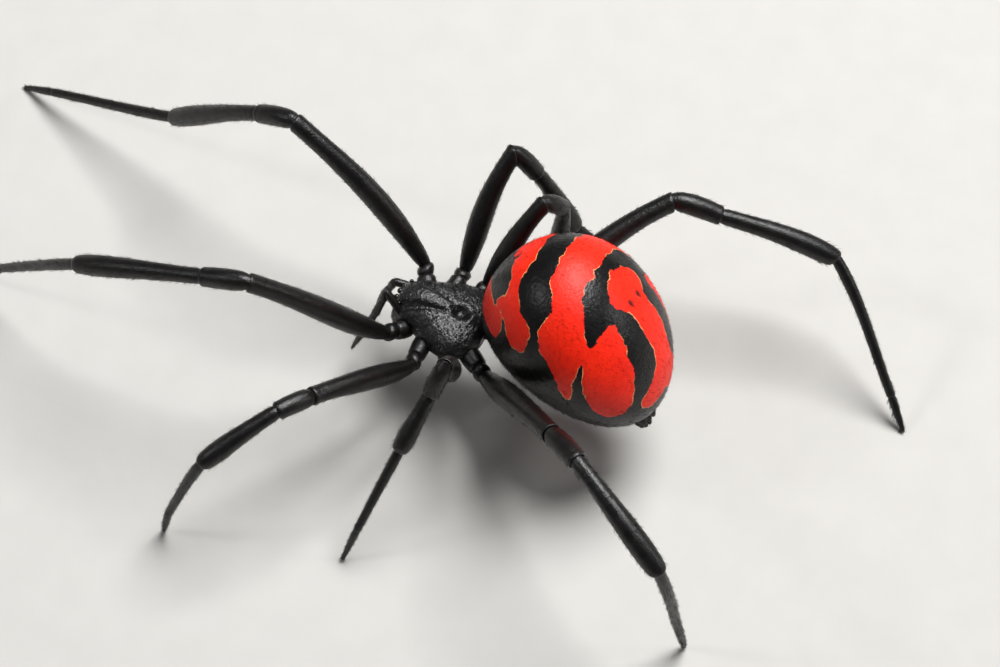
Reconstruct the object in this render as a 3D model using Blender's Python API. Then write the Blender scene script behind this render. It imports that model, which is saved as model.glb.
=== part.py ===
"""Black widow spider, a female at rest on a level floor, life size.

Sizes below are in millimetres and angles in degrees. The head points to -Y, the left
side to +X and the back up. Every place on the body is given as forward, left and up
from the middle of the front body.
"""

import math

import bmesh
import bpy
from mathutils import Vector

NAME = "black_widow_spider"
MM = 0.001

# Gap between two pieces that meet, and the finer one round the eyes
GAP = 0.12
EYE_GAP = 0.02

# Middle of the front body above the floor, and its slight lean to the right
BODY_X = -1.2
BODY_Y = 2.0
BODY_Z = 3.7
BODY_LEAN = 3.5

# Front body from the face to the waist: forward, half width, top, bottom
PROSOMA_ROWS = (
    (1.80, 0.50, 0.34, -0.18),
    (1.70, 0.74, 0.55, -0.38),
    (1.35, 0.94, 0.78, -0.56),
    (0.85, 1.08, 0.88, -0.66),
    (0.30, 1.34, 0.84, -0.72),
    (-0.30, 1.58, 0.74, -0.74),
    (-0.85, 1.56, 0.66, -0.70),
    (-1.35, 1.22, 0.50, -0.56),
    (-1.65, 0.66, 0.28, -0.34),
)
PROSOMA_RIM = -0.06
PROSOMA_SIDES = 28
PROSOMA_STEPS = 2
PROSOMA_SQUARENESS = 0.88

# Abdomen: half sizes of the egg, how it arches and droops to the rear, its middle,
# its rise to the rear and its turn to the right
ABDOMEN_HALF_LENGTH = 3.50
ABDOMEN_HALF_WIDTH = 2.96
ABDOMEN_HALF_HEIGHT = 3.26
ABDOMEN_WIDER_BEHIND = 0.19
ABDOMEN_TALLER_BEHIND = 0.06
ABDOMEN_ARCH = 0.90
ABDOMEN_DROOP = 0.74
ABDOMEN_FORWARD = -4.80
ABDOMEN_LEFT = -0.36
ABDOMEN_UP = 2.34
ABDOMEN_TILT = 12.0
ABDOMEN_ROLL = 12.0
ABDOMEN_SEGMENTS = 36
ABDOMEN_RINGS = 22

# Waist between the two
PEDICEL_RADIUS = 0.27
PEDICEL_FRONT = (-1.25, 0.0, -0.06)
PEDICEL_REAR = (-2.75, -0.12, 0.22)

# Spinnerets under the rear of the abdomen, in the abdomen's own frame
SPINNERET_ROOT = (2.45, 0.0, -3.35)
SPINNERET_AIM = (0.50, 0.0, -0.87)
SPINNERET_MOUND_RADIUS = 0.46
SPINNERET_MOUND_HEIGHT = 0.34
SPINNERET_RADIUS = 0.15
SPINNERET_TIP_RADIUS = 0.07
SPINNERET_LENGTH = 0.58
SPINNERET_RING = 0.26
SPINNERET_COUNT = 6
SPINNERET_SPLAY = 0.10

# Jaws and their fangs
CHELICERA_PATH = ((1.25, 0.30, 0.05), (1.54, 0.33, -0.15), (1.66, 0.34, -0.50),
                  (1.64, 0.32, -0.92), (1.54, 0.29, -1.25))
CHELICERA_RADII = (0.26, 0.31, 0.30, 0.24, 0.16)
FANG_PATH = ((1.55, 0.28, -1.15), (1.49, 0.21, -1.41), (1.37, 0.13, -1.53))
FANG_RADII = (0.08, 0.06, 0.02)

# Palps: root, knee, wrist and tip, left one first
PALP_LEFT = ((1.20, 0.74, -0.24), (2.14, 0.50, 0.74), (2.44, 0.74, -0.46), (3.15, 1.02, -2.85))
PALP_RIGHT = ((1.20, -0.74, -0.24), (2.26, -0.56, 0.02), (2.68, -0.60, -1.10), (3.00, -0.66, -2.70))
PALP_UPPER_RADII = (0.16, 0.16, 0.15)
PALP_LOWER_RADII = (0.14, 0.15, 0.14, 0.14, 0.06)

# Eyes, four in each of two rows: left, up, radius
EYE_SPOTS = {
    "front_middle": (0.15, 0.22, 0.115),
    "front_side": (0.46, 0.22, 0.095),
    "rear_middle": (0.17, 0.56, 0.095),
    "rear_side": (0.53, 0.50, 0.095),
}
EYE_SIT = 0.02

# Leg pairs, front to rear: root under the rim, and hip where the thigh starts
ROOTS = {1: (0.95, 0.70, -0.34), 2: (0.32, 0.80, -0.34), 3: (-0.40, 0.80, -0.34), 4: (-0.98, 0.62, -0.32)}
HIPS = {1: (1.60, 1.70, 0.10), 2: (0.25, 2.35, -0.20), 3: (-0.80, 2.00, 0.00), 4: (-2.30, 1.55, -0.25)}

# The left third hip is swung back and down from its usual place
HIP_SWING = {"L3": (-0.30, 0.00, -0.30)}

# Lengths of thigh, knee piece, shin and metatarsus; the tarsus runs on to the floor
LENGTHS = {
    1: (7.35, 1.77, 5.40, 6.65),
    2: (5.00, 1.45, 3.20, 3.60),
    3: (4.20, 1.30, 2.40, 3.60),
    4: (6.95, 1.85, 4.60, 5.70),
}

# Thickness of each pair against the first
STOUTNESS = {1: 1.00, 2: 0.96, 3: 0.92, 4: 1.06}

# Pose of each leg: heading from straight ahead towards the left, lean of its plane,
# and the climb of thigh, knee piece, shin, metatarsus and tarsus
POSES = {
    "L1": (14.0, 22.0, (52.5, -18.5, -26.0, -51.0, -62.5)),
    "L2": (57.5, 8.5, (27.5, 13.0, -23.0, -70.5, -85.5)),
    "L3": (87.0, 9.5, (64.5, -59.0, -46.5, -53.5, -68.0)),
    "L4": (149.5, -13.5, (42.0, 27.0, -19.0, -87.0, -88.0)),
    "R1": (-8.0, 1.0, (39.5, -26.0, -41.5, -28.0, -30.0)),
    "R2": (-132.0, 22.5, (60.5, -56.0, -66.5, -54.0, -66.5)),
    "R3": (-122.0, 0.5, (57.5, -46.5, -89.0, -55.5, -43.5)),
    "R4": (-153.5, 45.0, (36.5, -16.5, -21.0, -66.5, -70.0)),
}

# Radii along each segment, from its near end to its far end
COXA_RADII = (0.34, 0.38, 0.33)
FEMUR_RADII = (0.29, 0.38, 0.43, 0.42, 0.38, 0.34)
PATELLA_RADII = (0.32, 0.37, 0.36, 0.31)
TIBIA_RADII = (0.28, 0.30, 0.33, 0.37, 0.38, 0.32)
METATARSUS_RADII = (0.21, 0.20, 0.18, 0.17)
TARSUS_RADII = (0.15, 0.12, 0.08)
FEMUR_BOW = 0.030
TIBIA_BOW = 0.012
RUN_ON = 0.7
TUBE_RESOLUTION = 4

# Colours and finish seen in the photograph
BLACK_SHELL = (0.012, 0.012, 0.013, 1.0)
BLACK_LEG = (0.016, 0.015, 0.015, 1.0)
RED_SKIN = (0.78, 0.040, 0.008, 1.0)
BROWN_SKIN = (0.060, 0.030, 0.024, 1.0)
EYE_BLACK = (0.006, 0.006, 0.008, 1.0)

UP = Vector((0.0, 0.0, 1.0))


def clear_file():
    for thing in list(bpy.data.objects):
        bpy.data.objects.remove(thing, do_unlink=True)
    for group in list(bpy.data.collections):
        bpy.data.collections.remove(group)


def new_group(name):
    group = bpy.data.collections.new(name)
    bpy.context.scene.collection.children.link(group)
    return group


def material(name, colour, roughness):
    mat = bpy.data.materials.new(name)
    mat.use_nodes = True
    shader = mat.node_tree.nodes["Principled BSDF"]
    shader.inputs["Base Color"].default_value = colour
    shader.inputs["Roughness"].default_value = roughness
    shader.inputs["Metallic"].default_value = 0.0
    mat.diffuse_color = colour
    return mat


def on_body(place):
    """World place of a spot given as forward, left and up from the body's middle."""
    forward, left, up = place
    lean = math.radians(BODY_LEAN)
    side = left * math.cos(lean) - up * math.sin(lean)
    high = left * math.sin(lean) + up * math.cos(lean)
    return Vector((BODY_X + side, BODY_Y - forward, BODY_Z + high)) * MM


def add_object(name, mesh, group, mat=None):
    thing = bpy.data.objects.new(name, mesh)
    group.objects.link(thing)
    if mat is not None:
        mesh.materials.clear()
        mesh.materials.append(mat)
    return thing


def mesh_from(name, shape):
    bmesh.ops.recalc_face_normals(shape, faces=shape.faces)
    mesh = bpy.data.meshes.new(name)
    shape.to_mesh(mesh)
    shape.free()
    return mesh


def tube(name, path, radii, cuts=()):
    """Closed round tube along a path; each cut keeps what lies behind its plane."""
    curve = bpy.data.curves.new(name, "CURVE")
    curve.dimensions = "3D"
    curve.bevel_depth = 1.0
    curve.bevel_resolution = TUBE_RESOLUTION
    curve.use_fill_caps = True
    spline = curve.splines.new("POLY")
    spline.points.add(len(path) - 1)
    for point, spot, radius in zip(spline.points, path, radii):
        point.co = (spot.x, spot.y, spot.z, 1.0)
        point.radius = radius * MM
    holder = bpy.data.objects.new(name + "_line", curve)
    bpy.context.scene.collection.objects.link(holder)
    bpy.context.view_layer.update()
    mesh = bpy.data.meshes.new_from_object(holder)
    bpy.data.objects.remove(holder, do_unlink=True)
    shape = bmesh.new()
    shape.from_mesh(mesh)
    bpy.data.meshes.remove(mesh)
    bmesh.ops.remove_doubles(shape, verts=shape.verts, dist=0.000001)
    for spot, normal in cuts:
        whole = list(shape.verts) + list(shape.edges) + list(shape.faces)
        bmesh.ops.bisect_plane(
            shape, geom=whole, dist=1e-8, plane_co=spot, plane_no=normal, clear_outer=True
        )
        rim = [edge for edge in shape.edges if edge.is_boundary]
        bmesh.ops.holes_fill(shape, edges=rim, sides=0)
    return mesh_from(name, shape)


def grown(mesh, distance):
    """Copy of a mesh with its surface moved outwards."""
    shape = bmesh.new()
    shape.from_mesh(mesh)
    shape.normal_update()
    moved = [vert.co + vert.normal * distance * MM for vert in shape.verts]
    for vert, spot in zip(shape.verts, moved):
        vert.co = spot
    return mesh_from(mesh.name + "_grown", shape)


def guide(name, mesh, guides):
    thing = add_object(name, mesh, guides)
    thing.hide_render = True
    thing.display_type = "WIRE"
    return thing


def apply_boolean(thing, operation, other):
    """Join to, or cut from, one piece another object or all the objects of a collection."""
    boolean = thing.modifiers.new(operation.title(), "BOOLEAN")
    boolean.operation = operation
    boolean.solver = "EXACT"
    if isinstance(other, bpy.types.Collection):
        boolean.operand_type = "COLLECTION"
        boolean.collection = other
    else:
        boolean.object = other
    bpy.context.view_layer.update()
    shaped = bpy.data.meshes.new_from_object(
        thing.evaluated_get(bpy.context.evaluated_depsgraph_get())
    )
    thing.modifiers.clear()
    old = thing.data
    shaped.name = old.name
    thing.data = shaped
    bpy.data.meshes.remove(old)


def join(thing, parts):
    """Join closed meshes, given by name, to one piece; the joined-on objects are removed."""
    batch = new_group(thing.name + "_parts")
    for name, mesh in parts.items():
        add_object(name, mesh, batch)
    apply_boolean(thing, "UNION", batch)
    for part in list(batch.objects):
        bpy.data.objects.remove(part, do_unlink=True)
    bpy.data.collections.remove(batch)


def blend_rows(rows, steps):
    """Rows of sizes with smooth in-between ones added."""
    out = []
    last = len(rows) - 1
    for i in range(last):
        before, here = rows[max(i - 1, 0)], rows[i]
        there, after = rows[i + 1], rows[min(i + 2, last)]
        for k in range(steps):
            t = k / steps
            row = []
            for a, b, c, d in zip(before, here, there, after):
                bend = (2 * a - 5 * b + 4 * c - d) * t * t + (3 * b - a - 3 * c + d) * t ** 3
                row.append(0.5 * (2 * b + (c - a) * t + bend))
            out.append(tuple(row))
    out.append(rows[last])
    return out


def signed_power(value, power):
    return math.copysign(abs(value) ** power, value)


def prosoma_mesh():
    """Front body: rings of rounded cross-section from the face to the waist."""
    shape = bmesh.new()
    rings = []
    for forward, half_width, top, bottom in blend_rows(PROSOMA_ROWS, PROSOMA_STEPS):
        ring = []
        for k in range(PROSOMA_SIDES):
            turn = 2 * math.pi * k / PROSOMA_SIDES
            left = half_width * signed_power(math.cos(turn), PROSOMA_SQUARENESS)
            rise = signed_power(math.sin(turn), PROSOMA_SQUARENESS)
            reach = (top - PROSOMA_RIM) if rise > 0 else (PROSOMA_RIM - bottom)
            ring.append(shape.verts.new(on_body((forward, left, PROSOMA_RIM + reach * rise))))
        rings.append(ring)
    for ring, nxt in zip(rings, rings[1:]):
        for k in range(PROSOMA_SIDES):
            j = (k + 1) % PROSOMA_SIDES
            shape.faces.new((ring[k], ring[j], nxt[j], nxt[k]))
    shape.faces.new(rings[0])
    shape.faces.new(list(reversed(rings[-1])))
    return mesh_from("prosoma", shape)


def in_abdomen(along, across, high):
    """World place of a spot in the abdomen's own frame: rearwards, left and up."""
    roll = math.radians(ABDOMEN_ROLL)
    left = across * math.cos(roll) - high * math.sin(roll)
    top = across * math.sin(roll) + high * math.cos(roll)
    tilt = math.radians(ABDOMEN_TILT)
    back = along * math.cos(tilt) - top * math.sin(tilt)
    rise = along * math.sin(tilt) + top * math.cos(tilt)
    return on_body((ABDOMEN_FORWARD - back, ABDOMEN_LEFT + left, ABDOMEN_UP + rise))


def abdomen_mesh():
    """Egg that is broader behind, arched along its back and drooping to the rear."""
    shape = bmesh.new()
    bmesh.ops.create_uvsphere(
        shape, u_segments=ABDOMEN_SEGMENTS, v_segments=ABDOMEN_RINGS, radius=1.0
    )
    for vert in shape.verts:
        along, across, high = vert.co.z, vert.co.y, vert.co.x
        width = ABDOMEN_HALF_WIDTH * (1 + ABDOMEN_WIDER_BEHIND * along)
        height = ABDOMEN_HALF_HEIGHT * (1 + ABDOMEN_TALLER_BEHIND * along)
        sag = ABDOMEN_ARCH * along * along + ABDOMEN_DROOP * along
        vert.co = in_abdomen(ABDOMEN_HALF_LENGTH * along, width * across, height * high - sag)
    return mesh_from("abdomen", shape)


def spread(path, count):
    """Evenly spaced spots along a line of two ends."""
    start, end = path
    return [start.lerp(end, k / (count - 1)) for k in range(count)]


def segment(name, start, end, radii, near_cut, far_cut, lift=None, bow=0.0):
    """Leg piece between two joints, bowed a little and mitred where it meets the next."""
    spots = spread((start, end), len(radii))
    if lift is not None:
        length = (end - start).length
        for k, spot in enumerate(spots):
            spots[k] = spot + lift * length * bow * math.sin(math.pi * k / (len(radii) - 1))
    aim_in = (spots[1] - spots[0]).normalized()
    aim_out = (spots[-1] - spots[-2]).normalized()
    path = spots + [end + aim_out * RUN_ON * MM]
    widths = list(radii) + [radii[-1]]
    if near_cut is None:
        return tube(name, path, widths, [far_cut])
    path.insert(0, start - aim_in * RUN_ON * MM)
    widths.insert(0, radii[0])
    return tube(name, path, widths, [near_cut, far_cut])


def joint_cuts(spot, aim_before, aim_after):
    """Planes that end one piece and start the next, a gap apart."""
    normal = (aim_before + aim_after).normalized()
    half = normal * (GAP / 2) * MM
    return (spot - half, normal), (spot + half, -normal)


def leg_line(leg):
    """Joints of a leg from hip to floor, and the upward direction of its plane."""
    side = 1 if leg[0] == "L" else -1
    pair = int(leg[1])
    heading, lean, climbs = POSES[leg]
    swing = HIP_SWING.get(leg, (0.0, 0.0, 0.0))
    forward, out, up = [place + shift for place, shift in zip(HIPS[pair], swing)]
    turn = math.radians(heading)
    ahead = Vector((math.sin(turn), -math.cos(turn), 0.0))
    tip_over = math.radians(lean)
    lift = UP * math.cos(tip_over) + UP.cross(ahead) * math.sin(tip_over)
    spots = [on_body((forward, side * out, up))]
    aims = []
    for climb, length in zip(climbs, LENGTHS[pair] + (0.0,)):
        angle = math.radians(climb)
        aim = (ahead * math.cos(angle) + lift * math.sin(angle)).normalized()
        reach = length * MM if length else -spots[-1].z / aim.z
        aims.append(aim)
        spots.append(spots[-1] + aim * reach)
    return spots, aims, lift


def build_leg(leg, group, guides, shell):
    side = 1 if leg[0] == "L" else -1
    pair = int(leg[1])
    stout = STOUTNESS[pair]
    spots, aims, lift = leg_line(leg)
    forward, out, up = ROOTS[pair]
    root = on_body((forward, side * out, up))
    coxa_aim = (spots[0] - root).normalized()
    ends, starts = {}, {}
    ends["coxa"], starts["femur"] = joint_cuts(spots[0], coxa_aim, aims[0])
    ends["femur"], starts["patella"] = joint_cuts(spots[1], aims[0], aims[1])
    ends["patella"], starts["tibia"] = joint_cuts(spots[2], aims[1], aims[2])
    ends["tibia"], starts["metatarsus"] = joint_cuts(spots[3], aims[2], aims[3])
    floor = (Vector((0.0, 0.0, 0.0)), -UP)

    def thick(radii):
        return [radius * stout for radius in radii]

    coxa = segment("coxa", root, spots[0], thick(COXA_RADII), None, ends["coxa"])
    femur = segment("femur", spots[0], spots[1], thick(FEMUR_RADII), starts["femur"],
                    ends["femur"], lift, FEMUR_BOW)
    patella = segment("patella", spots[1], spots[2], thick(PATELLA_RADII),
                      starts["patella"], ends["patella"])
    tibia = segment("tibia", spots[2], spots[3], thick(TIBIA_RADII), starts["tibia"],
                    ends["tibia"], lift, TIBIA_BOW)
    shank = spread((spots[3], spots[4]), len(METATARSUS_RADII))
    toe = spread((spots[4], spots[5]), len(TARSUS_RADII) + 1)[1:]
    path = [spots[3] - aims[3] * RUN_ON * MM] + shank + toe + [spots[5] + aims[4] * RUN_ON * MM]
    widths = [METATARSUS_RADII[0]] + list(METATARSUS_RADII) + list(TARSUS_RADII) + [TARSUS_RADII[-1]]
    foot = tube("metatarsus", path, thick(widths), [starts["metatarsus"], floor])

    pieces = {"coxa": coxa, "femur": femur, "patella": patella, "tibia": tibia, "metatarsus": foot}
    for kind, mesh in pieces.items():
        name = kind + "_" + leg
        mesh.name = name
        thing = add_object(name, mesh, group, shell)
        if kind == "coxa":
            apply_boolean(thing, "DIFFERENCE", guides["prosoma"])


def build_face(side, group, guides, shell, eye_black):
    """Jaw, palp and four eyes of one side."""
    sign = 1 if side == "L" else -1

    def spot(place):
        return on_body((place[0], sign * place[1], place[2]))

    middle = (on_body((0.0, sign * GAP / 4, 0.0)), on_body((0.0, -sign, 0.0)) - on_body((0.0, 0.0, 0.0)))
    jaw_path = [spot(place) for place in CHELICERA_PATH]
    jaw = add_object("chelicera_" + side, tube("chelicera_" + side, jaw_path, CHELICERA_RADII, [middle]),
                     group, shell)
    fang = tube("fang_" + side, [spot(place) for place in FANG_PATH], FANG_RADII)
    join(jaw, {"fang_" + side: fang})
    apply_boolean(jaw, "DIFFERENCE", guides["prosoma"])

    root, knee, wrist, tip = [on_body(place) for place in (PALP_LEFT if side == "L" else PALP_RIGHT)]
    upper_aim = (knee - root).normalized()
    lower_aim = (wrist - knee).normalized()
    end, start = joint_cuts(knee, upper_aim, lower_aim)
    upper = add_object("palp_femur_" + side, segment("palp_femur_" + side, root, knee,
                       PALP_UPPER_RADII, None, end), group, shell)
    apply_boolean(upper, "DIFFERENCE", guides["prosoma"])
    path = [knee - lower_aim * RUN_ON * MM, knee, knee.lerp(wrist, 0.5), wrist,
            wrist.lerp(tip, 0.75), tip]
    widths = [PALP_LOWER_RADII[0]] + list(PALP_LOWER_RADII)
    add_object("palp_tip_" + side, tube("palp_tip_" + side, path, widths, [start]), group, shell)

    for label, (left, high, radius) in EYE_SPOTS.items():
        name = "eye_" + label + "_" + side
        centre = spot((face_reach(left, high), left, high))
        shape = bmesh.new()
        bmesh.ops.create_uvsphere(shape, u_segments=14, v_segments=8, radius=radius * MM)
        for vert in shape.verts:
            vert.co = vert.co + centre
        eye = add_object(name, mesh_from(name, shape), group, eye_black)
        apply_boolean(eye, "DIFFERENCE", guides["prosoma_tight"])


def face_reach(left, high):
    """How far forward the face lies at a given place beside and above its middle."""
    best = PROSOMA_ROWS[-1][0]
    for forward, half_width, top, bottom in blend_rows(PROSOMA_ROWS, 12):
        reach = (top - PROSOMA_RIM) if high > PROSOMA_RIM else (PROSOMA_RIM - bottom)
        power = 2.0 / PROSOMA_SQUARENESS
        spread_out = abs(left / half_width) ** power + abs((high - PROSOMA_RIM) / reach) ** power
        if spread_out <= 1.0:
            best = max(best, forward)
    return best + EYE_SIT


def build_spinnerets(group, guides, mat):
    root = Vector(SPINNERET_ROOT)
    aim = Vector(SPINNERET_AIM).normalized()
    across = Vector((0.0, 1.0, 0.0))
    other = aim.cross(across)

    def at(spot):
        return in_abdomen(*spot)

    mound_path = [at(root - aim * 0.6), at(root), at(root + aim * SPINNERET_MOUND_HEIGHT * 0.7),
                  at(root + aim * SPINNERET_MOUND_HEIGHT)]
    wide = SPINNERET_MOUND_RADIUS
    thing = add_object("spinnerets", tube("spinnerets", mound_path, (wide, wide, wide * 0.9, wide * 0.6)),
                       group, mat)
    cones = {}
    for k in range(SPINNERET_COUNT):
        turn = 2 * math.pi * (k + 0.5) / SPINNERET_COUNT
        out = across * math.cos(turn) + other * math.sin(turn)
        start = root + out * SPINNERET_RING + aim * 0.1
        end = start + aim * SPINNERET_LENGTH + out * SPINNERET_SPLAY
        name = "spinneret_" + str(k + 1)
        cones[name] = tube(name, [at(start), at(start.lerp(end, 0.7)), at(end)],
                           (SPINNERET_RADIUS, SPINNERET_RADIUS * 0.85, SPINNERET_TIP_RADIUS))
    join(thing, cones)
    apply_boolean(thing, "DIFFERENCE", guides["abdomen"])


def finish_shading(group):
    for thing in group.objects:
        thing.data.shade_smooth()
        thing.data.set_sharp_from_angle(angle=math.radians(40))


def build():
    clear_file()
    group = new_group(NAME)
    cutters = new_group(NAME + "_guides")
    black_shell = material("black_shell", BLACK_SHELL, 0.22)
    black_leg = material("black_leg", BLACK_LEG, 0.28)
    red_skin = material("red_skin", RED_SKIN, 0.38)
    brown_skin = material("brown_skin", BROWN_SKIN, 0.5)
    eye_black = material("eye_black", EYE_BLACK, 0.05)

    prosoma = prosoma_mesh()
    abdomen = abdomen_mesh()
    guides = {
        "prosoma": guide("prosoma_clearance", grown(prosoma, GAP), cutters),
        "prosoma_tight": guide("eye_clearance", grown(prosoma, EYE_GAP), cutters),
        "abdomen": guide("abdomen_clearance", grown(abdomen, GAP), cutters),
    }
    add_object("prosoma", prosoma, group, black_shell)
    add_object("abdomen", abdomen, group, red_skin)

    waist_path = spread((on_body(PEDICEL_FRONT), on_body(PEDICEL_REAR)), 5)
    waist = add_object("pedicel", tube("pedicel", waist_path, [PEDICEL_RADIUS] * 5), group, black_shell)
    apply_boolean(waist, "DIFFERENCE", guides["prosoma"])
    apply_boolean(waist, "DIFFERENCE", guides["abdomen"])
    build_spinnerets(group, guides, brown_skin)
    for side in ("L", "R"):
        build_face(side, group, guides, black_shell, eye_black)
    for leg in POSES:
        build_leg(leg, group, guides, black_leg)
    finish_shading(group)


build()
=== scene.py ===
"""Black widow spider with red and black cross bands, dressed for the museum table.

Sizes are in millimetres and angles in degrees unless a name says otherwise. The head
points to -Y, the left side to +X. Places on the body are forward, left and up from the
middle of the front body.
"""

import math

import bmesh
import bpy
import numpy as np
from mathutils import Matrix, Vector


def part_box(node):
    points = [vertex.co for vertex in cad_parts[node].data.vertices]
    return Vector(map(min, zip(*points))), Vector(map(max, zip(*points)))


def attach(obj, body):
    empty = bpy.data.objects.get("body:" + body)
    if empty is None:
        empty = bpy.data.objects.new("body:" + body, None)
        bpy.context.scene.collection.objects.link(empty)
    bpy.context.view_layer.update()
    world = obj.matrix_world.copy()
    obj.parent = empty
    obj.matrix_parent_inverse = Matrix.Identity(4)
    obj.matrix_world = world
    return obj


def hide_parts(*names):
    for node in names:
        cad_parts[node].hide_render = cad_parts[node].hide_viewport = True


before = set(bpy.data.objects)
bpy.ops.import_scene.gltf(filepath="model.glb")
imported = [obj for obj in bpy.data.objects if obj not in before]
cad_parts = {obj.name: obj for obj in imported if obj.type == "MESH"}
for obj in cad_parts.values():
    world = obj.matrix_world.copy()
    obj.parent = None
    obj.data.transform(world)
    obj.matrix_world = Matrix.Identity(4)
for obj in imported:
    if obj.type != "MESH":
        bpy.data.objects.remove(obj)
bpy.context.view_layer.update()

MM = 0.001
UP = Vector((0.0, 0.0, 1.0))

# The pose and main sizes, the same as the solids have
BODY = (-1.2, 2.0, 3.7)
BODY_LEAN = 3.5
# The front body from face to waist: forward, half width, top and bottom
PROSOMA_ROWS = (
    (1.80, 0.50, 0.34, -0.18),
    (1.70, 0.74, 0.55, -0.38),
    (1.35, 0.94, 0.78, -0.56),
    (0.85, 1.08, 0.88, -0.66),
    (0.30, 1.34, 0.84, -0.72),
    (-0.30, 1.58, 0.74, -0.74),
    (-0.85, 1.56, 0.66, -0.70),
    (-1.35, 1.22, 0.50, -0.56),
    (-1.65, 0.66, 0.28, -0.34),
)
PROSOMA_RIM = -0.06
PROSOMA_SQUARENESS = 0.88
# Half the abdomen's length, width and height
ABDOMEN_HALF = (3.50, 2.96, 3.26)
ABDOMEN_WIDER_BEHIND = 0.19
ABDOMEN_TALLER_BEHIND = 0.06
ABDOMEN_ARCH = 0.90
ABDOMEN_DROOP = 0.74
ABDOMEN_MIDDLE = (-4.80, -0.36, 2.34)
ABDOMEN_TILT = 12.0
ABDOMEN_ROLL = 12.0
# Where each pair of legs leaves the body, and where its femur starts, on the left side
ROOTS = {
    1: (0.95, 0.70, -0.34), 2: (0.32, 0.80, -0.34),
    3: (-0.40, 0.80, -0.34), 4: (-0.98, 0.62, -0.32),
}
HIPS = {
    1: (1.60, 1.70, 0.10), 2: (0.25, 2.35, -0.20),
    3: (-0.80, 2.00, 0.00), 4: (-2.30, 1.55, -0.25),
}
# Femur, patella, tibia and metatarsus; the tarsus goes on from there to the floor
LENGTHS = {
    1: (7.35, 1.77, 5.40, 6.65),
    2: (5.00, 1.45, 3.20, 3.60),
    3: (4.20, 1.30, 2.40, 3.60),
    4: (6.95, 1.85, 4.60, 5.70),
}
HIP_SWING = {"L3": (-0.30, 0.00, -0.30)}
STOUTNESS = {1: 1.00, 2: 0.96, 3: 0.92, 4: 1.06}
# Each leg's heading, its lean to the side and how steeply its five pieces climb
POSES = {
    "L1": (14.0, 22.0, (52.5, -18.5, -26.0, -51.0, -62.5)),
    "L2": (57.5, 8.5, (27.5, 13.0, -23.0, -70.5, -85.5)),
    "L3": (87.0, 9.5, (64.5, -59.0, -46.5, -53.5, -68.0)),
    "L4": (149.5, -13.5, (42.0, 27.0, -19.0, -87.0, -88.0)),
    "R1": (-8.0, 1.0, (39.5, -26.0, -41.5, -28.0, -30.0)),
    "R2": (-132.0, 22.5, (60.5, -56.0, -66.5, -54.0, -66.5)),
    "R3": (-122.0, 0.5, (57.5, -46.5, -89.0, -55.5, -43.5)),
    "R4": (-153.5, 45.0, (36.5, -16.5, -21.0, -66.5, -70.0)),
}
FEMUR_BOW = 0.030
TIBIA_BOW = 0.012

# Radii along each piece of a leg, and of the soft skin at its joints
LEG_RADII = {
    "coxa": (0.30, 0.35, 0.37, 0.36, 0.32),
    "trochanter": (0.27, 0.31, 0.325, 0.29),
    "femur": (0.24, 0.31, 0.37, 0.41, 0.43, 0.43, 0.42, 0.40, 0.375, 0.355, 0.345, 0.345),
    "patella": (0.31, 0.35, 0.37, 0.37, 0.36, 0.335),
    "tibia": (0.28, 0.29, 0.30, 0.32, 0.345, 0.37, 0.385, 0.375, 0.33),
    "metatarsus": (0.20, 0.21, 0.195, 0.185, 0.175, 0.165, 0.16),
    "tarsus": (0.14, 0.15, 0.14, 0.12, 0.10, 0.075),
}
JOINT_RADII = (0.24, 0.22, 0.27, 0.25, 0.19, 0.125)
PALP_JOINT_RADIUS = 0.11
# How far a leg piece's neck starts inside the piece before it
SUNK = 0.10
PALP_SUNK = 0.05
TROCHANTER_LENGTH = 0.42
PALP_PATELLA_LENGTH = 0.42

# Mouth parts and palps as lines of spots on the body
JAW_PATH = ((1.25, 0.30, 0.05), (1.54, 0.33, -0.15), (1.66, 0.34, -0.50), (1.64, 0.32, -0.92),
            (1.54, 0.29, -1.25))
JAW_RADII = (0.26, 0.30, 0.29, 0.24, 0.16)
FANG_PATH = ((1.55, 0.28, -1.12), (1.55, 0.25, -1.32), (1.48, 0.19, -1.45), (1.37, 0.12, -1.52))
LOBE_PATH = ((0.62, 0.62, -0.60), (0.95, 0.50, -0.74), (1.25, 0.33, -0.82), (1.42, 0.20, -0.84))
LIP_PATH = ((0.78, 0.0, -0.66), (0.95, 0.0, -0.74), (1.12, 0.0, -0.80))
PALP_PATHS = {
    "L": ((1.20, 0.74, -0.24), (2.14, 0.50, 0.74), (2.44, 0.74, -0.46), (3.15, 1.02, -2.85)),
    "R": ((1.20, -0.74, -0.24), (2.26, -0.56, 0.02), (2.68, -0.60, -1.10), (3.00, -0.66, -2.70)),
}

# Hairs per millimetre of each piece of a leg, and their length
LEG_HAIR = {
    "coxa": (60, 0.12), "trochanter": (60, 0.10), "femur": (85, 0.16), "patella": (90, 0.16),
    "tibia": (110, 0.18), "metatarsus": (110, 0.17), "tarsus": (130, 0.15),
}
ABDOMEN_HAIRS = 5200
SHIELD_HAIRS = 900
JAW_HAIRS = 170
# Half the thickness of hairs on the face and the front body
FINE_HAIR = 0.0045
# What hairs carry as their reach into the red where there are no bands
ON_BLACK = -1.0
# Half the size of a hair's patch on its unwrap, at its root and at its middle
ROOT_PATCH = 0.0015
MIDDLE_PATCH = 0.0008

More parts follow.
